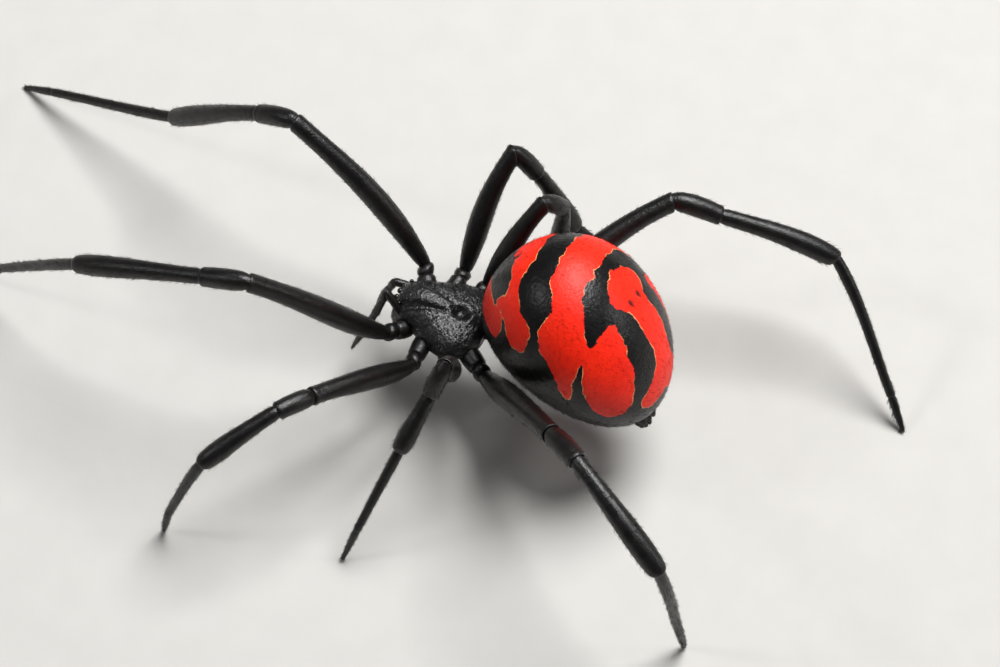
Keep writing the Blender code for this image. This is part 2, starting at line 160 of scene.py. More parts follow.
# Red bands as outlines on the abdomen: degrees from its front pole back along it, and
# degrees from the middle of the back round to the left; both sides are alike
RED_BANDS = {
    "collar": (
        (24, 12), (20, 24), (18, 40), (19, 62), (30, 80), (42, 90), (50, 92), (54, 86), (57, 80),
        (57, 74), (56, 69), (53, 65), (49, 62), (46, 61), (44, 57), (39, 50), (34, 38), (28, 22)
    ),
    "second": (
        (52, -8), (50, 6), (53, 16), (56, 30), (58, 40), (57, 50), (52, 53), (49, 58), (51, 62),
        (55, 65), (58, 69), (61, 75), (63, 81), (67, 87), (76, 87), (80, 76), (79, 67), (75, 63),
        (71, 58), (68, 51), (66, 44), (66, 36), (68, 26), (70, 18), (69, 8), (69, -8)
    ),
    "saddle": (
        (86, -8), (86, 4), (85, 12), (86, 20), (85, 33), (88, 38), (90, 43), (91, 48), (90, 54),
        (87, 62), (86, 66), (87, 72), (89, 78), (93, 82), (97, 88), (100, 95), (104, 104),
        (108, 103), (109, 94), (110, 86), (112, 78), (114, 72), (115, 76), (116, 87), (118, 98),
        (123, 108), (131, 113), (140, 112), (147, 102), (149, 88), (148, 75), (146, 58),
        (140, 50), (138, 44), (133, 39), (129, 34), (126, 33), (123, 38), (121, 46), (120, 53),
        (117, 58), (114, 56), (111, 47), (108, 38), (105, 30), (104, 22), (106, 15), (105, 9),
        (106, -8)
    ),
    "rear": (
        (113, -8), (114, 9), (116, 16), (119, 20), (122, 22), (126, 20), (131, 15), (135, 14),
        (139, 17), (148, 21), (153, 22), (159, 29), (162, 44), (162, 62), (160, 82), (157, 96),
        (155, 112), (161, 126), (170, 134), (177, 150), (177, -150), (170, -60), (150, -14),
        (130, -8)
    ),
}
HOURGLASS = ((78, 164), (92, 176), (104, 166), (110, 170),
             (110, -170), (104, -166), (92, -176), (78, -164))
# Middles of the flat maps the outlines are drawn in, and the line the bands fold over on
CHART_CENTRE = (100, 40)
UNDER_CENTRE = (95, 180)
FOLD_LINE = -3
# Small dark dents over the muscles: the place as above, and the size in millimetres
MUSCLE_DOTS = ((129.5, 7, 0.10), (54, 12, 0.12), (91, 9, 0.05))


def linear(code):
    """Linear colour from an sRGB hex value."""
    parts = [int(code[k:k + 2], 16) / 255 for k in (0, 2, 4)]
    light = [c / 12.92 if c <= 0.04045 else ((c + 0.055) / 1.055) ** 2.4 for c in parts]
    return (*light, 1.0)


def add(tree, kind, values=None, links=None, **settings):
    """Add a node with its settings, socket values and incoming links."""
    node = tree.nodes.new(kind)
    for key, value in settings.items():
        setattr(node, key, value)
    for key, value in (values or {}).items():
        node.inputs[key].default_value = value
    for key, source in (links or {}).items():
        tree.links.new(source, node.inputs[key])
    return node


def new_material(name):
    """Empty material, its node tree and the piece's own coordinates in it."""
    mat = bpy.data.materials.new(name)
    mat.use_nodes = True
    mat.node_tree.nodes.clear()
    return mat, mat.node_tree, add(mat.node_tree, "ShaderNodeTexCoord").outputs["Object"]


def finish_material(tree, values, links):
    shader = add(tree, "ShaderNodeBsdfPrincipled", values, links)
    add(tree, "ShaderNodeOutputMaterial", links={"Surface": shader.outputs["BSDF"]})


def on_body(place):
    """World place, in metres, of a spot given as forward, left and up in millimetres."""
    forward, left, up = place
    lean = math.radians(BODY_LEAN)
    side = left * math.cos(lean) - up * math.sin(lean)
    high = left * math.sin(lean) + up * math.cos(lean)
    return Vector((BODY[0] + side, BODY[1] - forward, BODY[2] + high)) * MM


def on_side(sign, spots):
    """World places of spots that are given for the left side; sign is -1 on the right."""
    return [on_body((forward, sign * left, up)) for forward, left, up in spots]


def in_abdomen(along, across, high):
    """World place of a spot given in the abdomen's own tilted and rolled box."""
    roll = math.radians(ABDOMEN_ROLL)
    left = across * math.cos(roll) - high * math.sin(roll)
    top = across * math.sin(roll) + high * math.cos(roll)
    tilt = math.radians(ABDOMEN_TILT)
    back = along * math.cos(tilt) - top * math.sin(tilt)
    rise = along * math.sin(tilt) + top * math.cos(tilt)
    return on_body((ABDOMEN_MIDDLE[0] - back, ABDOMEN_MIDDLE[1] + left, ABDOMEN_MIDDLE[2] + rise))


def between(a, b, c, d, x):
    """Smooth curve from b at x 0 to c at x 1, with a before them and d after."""
    return 0.5 * (2 * b + (c - a) * x + (2 * a - 5 * b + 4 * c - d) * x * x
                  + (3 * b - a - 3 * c + d) * x ** 3)


def smooth_value(values, t):
    """Value at t from 0 to 1 along a row of evenly spaced values, on a smooth curve."""
    last = len(values) - 1
    i = min(int(t * last), last - 1)
    around = values[max(i - 1, 0)], values[i], values[i + 1], values[min(i + 2, last)]
    return between(*around, t * last - i)


def signed_power(value, power):
    return math.copysign(abs(value) ** power, value)


def add_object(name, data):
    thing = bpy.data.objects.new(name, data)
    bpy.context.scene.collection.objects.link(thing)
    return thing


def to_mesh(name, shape, mat):
    """Mesh from a bmesh, which is freed."""
    mesh = bpy.data.meshes.new(name)
    shape.to_mesh(mesh)
    shape.free()
    mesh.materials.append(mat)
    return mesh


def make_piece(name, shape, mat, nodes=()):
    """Turn a bmesh into a piece of the model that rides on the body."""
    bmesh.ops.recalc_face_normals(shape, faces=shape.faces)
    mesh = to_mesh(name, shape, mat)
    mesh.shade_smooth()
    piece = add_object(name, mesh)
    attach(piece, "root")
    if nodes:
        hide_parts(*nodes)


def facing(spot, aim, top="X"):
    """Matrix that moves a shape to a spot and turns its Z along aim."""
    return Matrix.Translation(spot) @ aim.to_track_quat("Z", top).to_matrix().to_4x4()


def add_cone(shape, sides, base, top, depth):
    made = bmesh.ops.create_cone(
        shape, cap_ends=True, cap_tris=False, segments=sides, radius1=base, radius2=top, depth=depth
    )
    return made["verts"]


def rod(sides, rings):
    """Unit rod from z 0 to z 1 with rings crowded towards both ends."""
    shape = bmesh.new()
    add_cone(shape, sides, 1.0, 1.0, 1.0)
    long_edges = [edge for edge in shape.edges
                  if abs(edge.verts[0].co.z - edge.verts[1].co.z) > 0.5]
    bmesh.ops.subdivide_edges(shape, edges=long_edges, cuts=rings - 1, use_grid_fill=False)
    for vert in shape.verts:
        t = round((vert.co.z + 0.5) * rings) / rings
        vert.co.z = 0.5 - 0.5 * math.cos(math.pi * t)
    return shape


# Legs

def leg_line(leg):
    """Joints of a leg from hip to floor, its piece directions and its upward direction."""
    side = 1 if leg[0] == "L" else -1
    pair = int(leg[1])
    heading, lean, climbs = POSES[leg]
    shifts = HIP_SWING.get(leg, (0.0, 0.0, 0.0))
    forward, out, up = [place + shift for place, shift in zip(HIPS[pair], shifts)]
    turn = math.radians(heading)
    ahead = Vector((math.sin(turn), -math.cos(turn), 0.0))
    tip_over = math.radians(lean)
    lift = UP * math.cos(tip_over) + UP.cross(ahead) * math.sin(tip_over)
    spots = [on_body((forward, side * out, up))]
    aims = []
    for climb, length in zip(climbs, LENGTHS[pair] + (0.0,)):
        angle = math.radians(climb)
        aim = (ahead * math.cos(angle) + lift * math.sin(angle)).normalized()
        # The last piece goes on until it meets the floor
        reach = length * MM if length else -spots[-1].z / aim.z
        aims.append(aim)
        spots.append(spots[-1] + aim * reach)
    return spots, aims, lift


def limb(start, end, radii, lift, bow=0.0, before=None, after=None,
         neck=0.80, mouth=0.90, dome=0.06, lip=0.04):
    """One leg piece as a record of its line, thickness and ends. Its near end is a narrow
    neck inside the piece before, its far end an open mouth with a lip. before and after are
    the directions of its neighbours, towards which both ends turn and are cut slantwise."""
    aim = (end - start).normalized()
    above = (lift - aim * lift.dot(aim)).normalized()
    turns = []
    planes = []
    for other, share in ((before, 0.22), (after, 0.18)):
        other = other or aim
        turns.append((other - aim * other.dot(aim)) * share)
        planes.append((aim + other).normalized())
    return {
        "start": start, "length": (end - start).length, "aim": aim, "above": above,
        "radii": radii, "bow": bow, "turns": turns, "planes": planes,
        "neck": neck, "mouth": mouth, "dome": dome, "lip": lip,
    }


def limb_radius(part, t):
    """Radius in metres at t along a limb, with its neck, lip and rounded mouth."""
    radius = smooth_value(part["radii"], t)
    near = part["length"] / MM * t
    far = part["length"] / MM - near
    grown = min(1.0, near / (1.2 * part["radii"][0]))
    radius *= part["neck"] + (1 - part["neck"]) * grown * grown * (3 - 2 * grown)
    radius *= 1 + part["lip"] * math.exp(-((far - 0.10) / 0.06) ** 2)
    if far < part["dome"]:
        curve = math.sqrt(max(0.0, 1 - (1 - far / part["dome"]) ** 2))
        radius *= part["mouth"] + (1 - part["mouth"]) * curve
    return radius * MM


def limb_spot(part, t, angle, grow=0.0):
    """Point on a limb's surface and its outward direction; angle 90 is its upper side."""
    radius = limb_radius(part, t) + grow
    first, last = part["turns"]
    bow = part["above"] * part["bow"]
    bend = first * (t ** 3 - 2 * t * t + t) + last * (t ** 3 - t * t)
    bend = bend + bow * math.sin(math.pi * t)
    centre = part["start"] + (part["aim"] * t + bend) * part["length"]
    lean = first * (3 * t * t - 4 * t + 1) + last * (3 * t * t - 2 * t)
    line = (part["aim"] + lean + bow * math.pi * math.cos(math.pi * t)).normalized()
    above = (part["above"] - line * part["above"].dot(line)).normalized()
    out = line.cross(above) * math.cos(angle) + above * math.sin(angle)
    spot = centre + out * radius
    for plane, gap in zip(part["planes"], (t, 1.0 - t)):
        share = 1.0 - gap * part["length"] / (2.0 * radius)
        if share > 0.0:
            slant = -radius * out.dot(plane) / max(0.3, line.dot(plane))
            spot = spot + line * share * max(-0.7 * radius, min(0.7 * radius, slant))
    return spot, out


def limb_shape(part, sides, rings):
    """Closed tube of a limb, hollowed a little at its mouth."""
    shape = rod(sides, rings)
    mouth = max(shape.faces, key=lambda face: face.calc_center_median().z)
    for vert in shape.verts:
        vert.co = limb_spot(part, vert.co.z, math.atan2(vert.co.y, vert.co.x))[0]
        vert.co.z = max(0.0, vert.co.z)
    rim = limb_radius(part, 1.0)
    bmesh.ops.inset_region(shape, faces=[mouth], thickness=0.12 * rim, depth=0.0)
    bmesh.ops.translate(shape, verts=mouth.verts, vec=part["aim"] * -0.3 * rim)
    return shape


def leg_parts(leg):
    """The limbs of one leg by name, its soft joints, its tip and the tip's aim and lift."""
    side = 1 if leg[0] == "L" else -1
    pair = int(leg[1])
    stout = STOUTNESS[pair]
    spots, aims, lift = leg_line(leg)
    root = on_side(side, [ROOTS[pair]])[0]
    coxa_aim = (spots[0] - root).normalized()
    neck = spots[0] - coxa_aim * TROCHANTER_LENGTH * MM
    sunk = SUNK * MM
    # Name, start, end, bow, the pieces before and after, neck, mouth, dome and lip
    rows = (
        ("coxa", root, neck, 0.0, None, None, 0.90, 0.86, 0.10),
        ("trochanter", neck - coxa_aim * sunk, spots[0],
         0.0, None, aims[0], 0.85, 0.82, 0.12, 0.02),
        ("femur", spots[0] - aims[0] * sunk, spots[1],
         FEMUR_BOW, coxa_aim, aims[1], 0.86, 0.90, 0.05),
        ("patella", spots[1] - aims[1] * sunk, spots[2],
         0.02, aims[0], aims[2], 0.84, 0.88, 0.06),
        ("tibia", spots[2] - aims[2] * sunk, spots[3],
         TIBIA_BOW, aims[1], aims[3], 0.86, 0.70, 0.22, 0.0),
        ("metatarsus", spots[3] - aims[3] * sunk, spots[4],
         0.0, aims[2], aims[4], 0.85, 0.88, 0.05),
        ("tarsus", spots[4] - aims[4] * 0.06 * MM, spots[5] - aims[4] * 0.10 * MM,
         0.0, None, None, 0.85, 0.50, 0.10, 0.0),
    )
    parts = {}
    for label, start, end, *ends in rows:
        radii = [radius * stout for radius in LEG_RADII[label]]
        parts[label] = limb(start, end, radii, lift, *ends)
    joints = [(neck, coxa_aim, JOINT_RADII[0] * stout)]
    for spot, first, second, radius in zip(spots, [coxa_aim] + aims, aims, JOINT_RADII[1:]):
        joints.append((spot, (first + second).normalized(), radius * stout))
    return parts, joints, spots[5], aims[4], lift


def add_claws(shape, tip, aim, lift, stout):
    """Three small hooked claws at the end of a foot, added to a bmesh."""
    side = aim.cross(lift).normalized()
    for across, size in ((-0.05, 1.0), (0.05, 1.0), (0.0, 0.6)):
        start = tip - aim * 0.16 * MM + side * across * MM * stout
        verts = add_cone(shape, 8, 0.022 * MM, 0.003 * MM, 0.15 * MM * size)
        turn = (aim * 0.8 + side * across * 4 + lift * 0.45).normalized()
        bmesh.ops.transform(shape, matrix=facing(start + turn * 0.07 * MM, turn), verts=verts)
    lowest = min(vert.co.z for vert in shape.verts)
    if lowest < 0.0:
        bmesh.ops.translate(shape, vec=(0.0, 0.0, -lowest), verts=shape.verts)


# Hair

def hair_coat(name, hairs, mat):
    """One mesh of many thin curved spikes. Each hair is root, start aim, end aim, length,
    width, its place on the coat's own unwrap and how red the skin is under it."""
    count = len(hairs)
    roots, first, last, place = [np.array([tuple(hair[k]) for hair in hairs]) for k in (0, 1, 2, 5)]
    length, width = [np.array([hair[k] for hair in hairs])[:, None] for k in (3, 4)]
    helper = np.where(np.abs(first[:, 2:3]) < 0.9, [[0.0, 0.0, 1.0]], [[1.0, 0.0, 0.0]])
    across = np.cross(first, helper)
    across /= np.linalg.norm(across, axis=1)[:, None]
    over = np.cross(first, across)
    middle = roots + first * length * 0.5
    tip = middle + last * length * 0.5
    verts = np.zeros((count, 7, 3))
    patch = np.zeros((count, 7, 2))
    for k in range(3):
        turn = 2 * math.pi * k / 3
        corner = np.array([math.cos(turn), math.sin(turn)])
        out = across * math.cos(turn) + over * math.sin(turn)
        verts[:, k] = roots + out * width
        verts[:, 3 + k] = middle + out * width * 0.7
        patch[:, k] = place + ROOT_PATCH * corner
        patch[:, 3 + k] = place + MIDDLE_PATCH * corner
    verts[:, 6] = tip
    verts[:, :, 2] = np.maximum(verts[:, :, 2], 0.0)
    patch[:, 6] = place
    faces = [(2, 1, 0)]
    for k in range(3):
        j = (k + 1) % 3
        faces += [(k, j, 3 + j), (k, 3 + j, 3 + k), (3 + k, 3 + j, 6)]
    faces = np.array(faces)
    corners = (faces[None] + 7 * np.arange(count)[:, None, None]).reshape(-1)
    mesh = bpy.data.meshes.new(name)
    mesh.vertices.add(count * 7)
    mesh.vertices.foreach_set("co", verts.reshape(-1))
    mesh.loops.add(len(corners))
    mesh.loops.foreach_set("vertex_index", corners.astype(np.int32))
    total = count * len(faces)
    mesh.polygons.add(total)
    mesh.polygons.foreach_set("loop_start", np.arange(0, total * 3, 3, dtype=np.int32))
    mesh.update(calc_edges=True)
    chart = mesh.uv_layers.new(name="OFBake")
    chart.data.foreach_set("uv", patch.reshape(-1, 2)[corners].reshape(-1).astype(np.float32))
    tones = mesh.attributes.new("band_reach", "FLOAT", "POINT")
    tones.data.foreach_set("value", np.repeat([hair[6] for hair in hairs], 7).astype(np.float32))
    shape = bmesh.new()
    shape.from_mesh(mesh)
    bpy.data.meshes.remove(mesh)
    make_piece(name, shape, mat)


def grow_on_limb(rng, part, band, per_mm, length, lean, width, under=False):
    """Hairs on one limb that lean towards its far end; band is its strip of the unwrap."""
    hairs = []
    for _ in range(int(per_mm * part["length"] / MM)):
        t = rng.uniform(0.04, 0.98)
        angle = rng.uniform(-1.9, -1.2) if under else rng.uniform(0.0, 2 * math.pi)
        spot, out = limb_spot(part, t, angle, -0.008 * MM)
        tilt = math.radians(lean * rng.uniform(0.7, 1.3))
        drift = part["aim"].cross(out) * rng.uniform(-0.25, 0.25)
        start = (part["aim"] * math.cos(tilt) + out * math.sin(tilt) + drift).normalized()
        tilt *= 0.5
        end = (part["aim"] * math.cos(tilt) + out * math.sin(tilt) + drift * 1.3).normalized()
        size = length * rng.uniform(0.6, 1.3)
        turn = (angle / (2 * math.pi)) % 1.0
        place = (0.02 + 0.96 * t, band[0] + (band[1] - band[0]) * turn)
        thick = width * MM * rng.uniform(0.8, 1.2)
        hairs.append((spot, start, end, size * MM, thick, place, ON_BLACK))
    return hairs


# Materials

def noise(tree, where, scale, detail=2.0, roughness=0.5):
    values = {"Scale": scale, "Detail": detail, "Roughness": roughness}
    return add(tree, "ShaderNodeTexNoise", values, {"Vector": where}).outputs["Fac"]


def relief(tree, height, strength, depth, below=None):
    """Bump of a height, laid over another one where that is given; depth in metres."""
    links = {"Height": height}
    if below is not None:
        links["Normal"] = below
    values = {"Strength": strength, "Distance": depth}
    return add(tree, "ShaderNodeBump", values, links).outputs["Normal"]


def spread(tree, value, start=0.0, end=1.0, low=0.0, high=1.0, **settings):
    """Value from the range start to end taken over to the range low to high."""
    values = {"From Min": start, "From Max": end, "To Min": low, "To Max": high}
    return add(tree, "ShaderNodeMapRange", values, {"Value": value}, **settings).outputs["Result"]


def blend(tree, share, first, second):
    """Colour between two others, each of them a hex code or a socket."""
    values, links = {}, {0: share}
    for key, colour in ((6, first), (7, second)):
        if isinstance(colour, str):
            values[key] = linear(colour)
        else:
            links[key] = colour
    return add(tree, "ShaderNodeMix", values, links, data_type="RGBA").outputs[2]


def shell_material():
    """Carapace cuticle: hard glossy chitin with a fine leathery grain of about 0.09 mm,
    drawn coarse enough to show, so that its highlights break up into small glints."""
    mat, tree, where = new_material("granular_black_chitin")
    swell = noise(tree, where, 2600.0, 3.0)
    grain = relief(tree, noise(tree, where, 11000.0, 2.0, 0.6), 0.8, 0.00005)
    finish_material(tree, {"IOR": 1.5}, {
        "Base Color": blend(tree, swell, "060607", "121213"),
        "Roughness": spread(tree, swell, low=0.22, high=0.42),
        "Normal": relief(tree, swell, 0.4, 0.00005, grain),
    })
    return mat


def leg_material():
    """Leg cuticle: satin black chitin. Hair sockets about 0.07 mm apart roughen it, and waves
    of about 0.4 mm vary its gloss, so a highlight runs along it in a broken line."""
    mat, tree, where = new_material("satin_black_leg_chitin")
    waves = noise(tree, where, 2600.0, 3.0)
    pits = relief(tree, noise(tree, where, 15000.0, 2.0, 0.6), 0.6, 0.00003)
    finish_material(tree, {"IOR": 1.45}, {
        "Base Color": blend(tree, waves, "050505", "120f0e"),
        "Roughness": spread(tree, waves, low=0.24, high=0.46),
        "Normal": relief(tree, waves, 0.3, 0.00005, pits),
    })
    return mat


def hair_material():
    """Short hairs: dark brown-black bristle of keratin's dullness, rust red where they grow
    on red skin, so the bands show through the coat."""
    mat, tree, where = new_material("fine_dark_bristle")
    reach = add(tree, "ShaderNodeAttribute", attribute_name="band_reach").outputs["Fac"]
    dark = blend(tree, noise(tree, where, 3000.0), "080706", "1a1412")
    tint = blend(tree, spread(tree, reach, -0.04, 0.04), dark, "8e1c08")
    finish_material(tree, {"Roughness": 0.7, "IOR": 1.25}, {"Base Color": tint})
    return mat


def plain_material(name, colours, roughness, scale, depth=0.01, ior=1.45):
    """Small parts: one colour with a slight cloud of another and a fine bump."""
    mat, tree, where = new_material(name)
    cloud = noise(tree, where, scale, 3.0)
    finish_material(tree, {"Roughness": roughness, "IOR": ior}, {
        "Base Color": blend(tree, cloud, *colours),
        "Normal": relief(tree, cloud, 0.3, depth * MM),
    })
    return mat


def abdomen_material():
    """Abdomen skin: thin stretched cuticle, satin, red in bands on black. The bands' edges
    are ragged at about 0.1 mm with a thin broken orange-cream line, and the skin is
    leathery with folds about 0.12 mm apart."""
    mat, tree, where = new_material("banded_abdomen_skin")
    reach = add(tree, "ShaderNodeAttribute", attribute_name="band_reach").outputs["Fac"]
    dots = add(tree, "ShaderNodeAttribute", attribute_name="muscle_dot").outputs["Fac"]
    fray = noise(tree, where, 3400.0, 4.0, 0.6)
    broad = noise(tree, where, 800.0)
    fine = noise(tree, where, 9000.0)
    shift = add(tree, "ShaderNodeMath", {1: 0.5}, {0: fray}, operation="SUBTRACT")
    ragged = add(tree, "ShaderNodeMath", {1: 0.30}, {0: shift.outputs[0], 2: reach},
                 operation="MULTIPLY_ADD").outputs[0]
    red_share = spread(tree, ragged, -0.012, 0.012, interpolation_type="SMOOTHSTEP")
    rim = add(tree, "ShaderNodeMath", {1: -0.008, 2: 0.015}, {0: ragged}, operation="COMPARE")
    broken = spread(tree, broad, 0.47, 0.55)
    rim_share = add(tree, "ShaderNodeMath", links={0: rim.outputs[0], 1: broken},
                    operation="MULTIPLY").outputs[0]
    red = blend(tree, broad, "d81400", "f52a08")
    flecked = blend(tree, spread(tree, fine, 0.55, 0.80, 0.0, 0.5), red, "c01000")
    black = blend(tree, fray, "050505", "100e0e")
    rimmed = blend(tree, rim_share, blend(tree, red_share, black, flecked), "e09060")
    finish_material(tree, {"IOR": 1.36}, {
        "Base Color": blend(tree, dots, rimmed, "180403"),
        "Roughness": spread(tree, red_share, low=0.34, high=0.48),
        "Normal": relief(tree, fray, 0.3, 0.00008, relief(tree, fine, 0.4, 0.00003)),
    })
    return mat


# Abdomen

def sphere_way(theta, phi):
    """Unit direction as rearwards, left and up from degrees along and round the abdomen."""
    t, p = math.radians(theta), math.radians(phi)
    return np.array([-math.cos(t), math.sin(t) * math.sin(p), math.sin(t) * math.cos(p)])


def chart(ways, centre):
    """Flat map of unit directions round a centre, with its local stretch."""
    axis = sphere_way(*centre)
    east = np.cross(axis, [1.0, 0.0, 0.0])
    east /= np.linalg.norm(east)
    north = np.cross(axis, east)
    scale = 2.0 / np.maximum(1e-3, 1.0 + ways @ axis)
    return np.stack([ways @ east * scale, ways @ north * scale], axis=-1), scale


def outline_reach(points, outline):
    """Distance to a closed outline, positive inside it."""
    nearest = np.full(len(points), 1e9)
    inside = np.zeros(len(points), bool)
    for a, b in zip(outline, np.roll(outline, -1, axis=0)):
        along = b - a
        t = np.clip(((points - a) @ along) / max(1e-12, along @ along), 0.0, 1.0)
        nearest = np.minimum(nearest, np.linalg.norm(points - a - t[:, None] * along, axis=1))
        crosses = (a[1] > points[:, 1]) != (b[1] > points[:, 1])
        rise = b[1] - a[1] if b[1] != a[1] else 1e-12
        slope = (b[0] - a[0]) * (points[:, 1] - a[1]) / rise + a[0]
        inside ^= crosses & (points[:, 0] < slope)
    return np.where(inside, nearest, -nearest)


def rounded_outline(spots, centre, steps):
    """Outline in the flat map with its corners rounded."""
    flat = chart(np.array([sphere_way(*spot) for spot in spots]), centre)[0]
    rounded = []
    for i in range(len(flat)):
        around = [flat[(i + k) % len(flat)] for k in (-1, 0, 1, 2)]
        rounded += [between(*around, k / steps) for k in range(steps)]
    return np.array(rounded)


def folded_ways(ways):
    """Directions brought over to the left side, because both sides carry the same bands.
    The fold line runs a little right of the middle, and more so near the rear."""
    theta = np.degrees(np.arccos(np.clip(-ways[:, 0], -1.0, 1.0)))
    phi = np.degrees(np.arctan2(ways[:, 1], ways[:, 2]))
    middle = FOLD_LINE - 0.3 * np.clip(theta - 130.0, 0.0, 25.0)
    phi = np.radians(np.abs((phi - middle + 180.0) % 360.0 - 180.0))
    side = np.sin(np.radians(theta))
    return np.stack([ways[:, 0], side * np.sin(phi), side * np.cos(phi)], axis=-1)


def band_field(ways):
    """Distance in millimetres into the red of each direction, negative in the black."""
    best = np.full(len(ways), -9.0)
    maps = [(folded_ways(ways), CHART_CENTRE, spots, 4) for spots in RED_BANDS.values()]
    for there, centre, spots, steps in maps + [(ways, UNDER_CENTRE, HOURGLASS, 1)]:
        points, scale = chart(there, centre)
        reach = outline_reach(points, rounded_outline(spots, centre, steps))
        best = np.maximum(best, reach / scale * ABDOMEN_HALF[2])
    return best


def abdomen_spot(way, sink=0.0):
    """World place of a direction on the abdomen's skin, sunk by some millimetres."""
    along, across, high = way
    width = (ABDOMEN_HALF[1] - sink) * (1 + ABDOMEN_WIDER_BEHIND * along)
    height = (ABDOMEN_HALF[2] - sink) * (1 + ABDOMEN_TALLER_BEHIND * along)
    sag = ABDOMEN_ARCH * along * along + ABDOMEN_DROOP * along
    return in_abdomen((ABDOMEN_HALF[0] - sink) * along, width * across, height * high - sag)


def make_abdomen(mat):
    """One skin with the bands and muscle dots as attributes, and a fold across its belly."""
    shape = bmesh.new()
    bmesh.ops.create_uvsphere(shape, u_segments=220, v_segments=150, radius=1.0)
    ways = np.array([(vert.co.z, vert.co.y, vert.co.x) for vert in shape.verts])
    ways /= np.linalg.norm(ways, axis=1)[:, None]
    reach = band_field(ways)
    folded = folded_ways(ways)
    dot = np.zeros(len(ways))
    for theta, phi, size in MUSCLE_DOTS:
        away = np.arccos(np.clip(folded @ sphere_way(theta, phi), -1, 1)) * ABDOMEN_HALF[2]
        dot = np.maximum(dot, 1.0 / (1.0 + np.exp((away - size) / 0.015)))
    low = 1.0 / (1.0 + np.exp((ways[:, 2] + 0.55) / 0.06))
    across_fold = np.arccos(np.clip(-ways[:, 0], -1, 1)) - math.radians(58)
    fold = np.exp(-(across_fold / 0.035) ** 2) * low * 0.06
    band_layer = shape.verts.layers.float.new("band_reach")
    dot_layer = shape.verts.layers.float.new("muscle_dot")
    for vert, way, red, spot, crease in zip(shape.verts, ways, reach, dot, fold):
        vert[band_layer] = float(red)
        vert[dot_layer] = float(spot)
        vert.co = abdomen_spot(way, 0.03 * spot + crease)
    return make_piece("abdomen_skin", shape, mat, ["abdomen"])


def make_abdomen_hair(mat):
    """Short bristles that lie rearwards all over the abdomen."""
    rng = np.random.default_rng(7)
    theta = np.degrees(np.arccos(-rng.uniform(-0.96, 0.995, ABDOMEN_HAIRS)))
    phi = rng.uniform(-180, 180, ABDOMEN_HAIRS)
    reach = band_field(np.array([sphere_way(a, b) for a, b in zip(theta, phi)]))
    middle = in_abdomen(0, 0, 0)
    hairs = []
    for a, b, red in zip(theta, phi, reach):
        spot = abdomen_spot(sphere_way(a, b), 0.01)
        beside = abdomen_spot(sphere_way(a, b + 1.0), 0.01) - spot
        lie = (abdomen_spot(sphere_way(min(179.5, a + 1.0), b), 0.01) - spot).normalized()
        out = lie.cross(beside).normalized()
        if out.dot(spot - middle) < 0:
            out = -out
        drift = out.cross(lie) * rng.uniform(-0.3, 0.3)
        start = (lie * 0.85 + out * 0.55 + drift).normalized()
        end = (lie + out * 0.28 + drift).normalized()
        place = (0.02 + 0.96 * a / 180, 0.02 + 0.96 * (b + 180) / 360)
        hairs.append((spot, start, end, rng.uniform(0.10, 0.20) * MM, 0.0050 * MM, place, red))
    hair_coat("abdomen_hairs", hairs, mat)


def make_spinnerets(skin, hair):
    """Six short two-jointed cones round a low mound, with the anal lobe above them."""
    shape = bmesh.new()
    root = Vector((2.45, 0.0, -3.35))
    aim = Vector((0.50, 0.0, -0.87)).normalized()
    across = Vector((0.0, 1.0, 0.0))
    other = aim.cross(across)
    rng = np.random.default_rng(11)
    hairs = []

    def add_limb(start, end, radii):
        first, last = in_abdomen(*start), in_abdomen(*end)
        part = limb(first, last, radii, UP, 0.0, None, None, 1.0, 0.6, 0.05, 0.0)
        piece = limb_shape(part, 18, 12)
        holder = bpy.data.meshes.new("part")
        piece.to_mesh(holder)
        piece.free()
        shape.from_mesh(holder)
        bpy.data.meshes.remove(holder)
        return part

    mound = add_limb(root - aim * 0.5, root + aim * 0.34, (0.46, 0.46, 0.43, 0.34))
    lobe = root + aim * 0.1 + Vector((0.42, 0.0, 0.30))
    add_limb(lobe - aim * 0.3, lobe + aim * 0.26, (0.20, 0.20, 0.16, 0.08))
    for k in range(6):
        turn = 2 * math.pi * (k + 0.5) / 6
        out = across * math.cos(turn) + other * math.sin(turn)
        start = root + out * 0.24 + aim * 0.1
        bend = start + aim * 0.36 - out * 0.03
        end = start + aim * 0.52 - out * 0.09
        add_limb(start, bend, (0.15, 0.155, 0.145, 0.12))
        tip = add_limb(bend - aim * 0.03, end, (0.10, 0.10, 0.085, 0.055))
        hairs += grow_on_limb(rng, tip, (k / 6, (k + 1) / 6), 70, 0.09, 25, 0.004)
    hairs += grow_on_limb(rng, mound, (0.0, 1.0), 90, 0.12, 35, FINE_HAIR)
    make_piece("spinnerets_dressed", shape, skin, ["spinnerets"])
    hair_coat("spinneret_hairs", hairs, hair)


# Front body

def prosoma_row(forward):
    """Half width, top and bottom of the front body at a place along it."""
    rows = PROSOMA_ROWS
    for i in range(len(rows) - 1):
        if rows[i][0] >= forward >= rows[i + 1][0]:
            x = (rows[i][0] - forward) / (rows[i][0] - rows[i + 1][0])
            around = rows[max(i - 1, 0)], rows[i], rows[i + 1], rows[min(i + 2, len(rows) - 1)]
            return tuple(between(*[row[k] for row in around], x) for k in (1, 2, 3))
    return rows[-1][1:]


def groove(forward, left, start, end, width):
    """1 on a line between two spots of the shield, falling to 0 within its width."""
    along, across = end[0] - start[0], end[1] - start[1]
    x, y = forward - start[0], abs(left) - start[1]
    t = min(1.0, max(0.0, (x * along + y * across) / (along ** 2 + across ** 2)))
    away = math.hypot(x - t * along, y - t * across)
    return math.exp(-(away / width) ** 2)


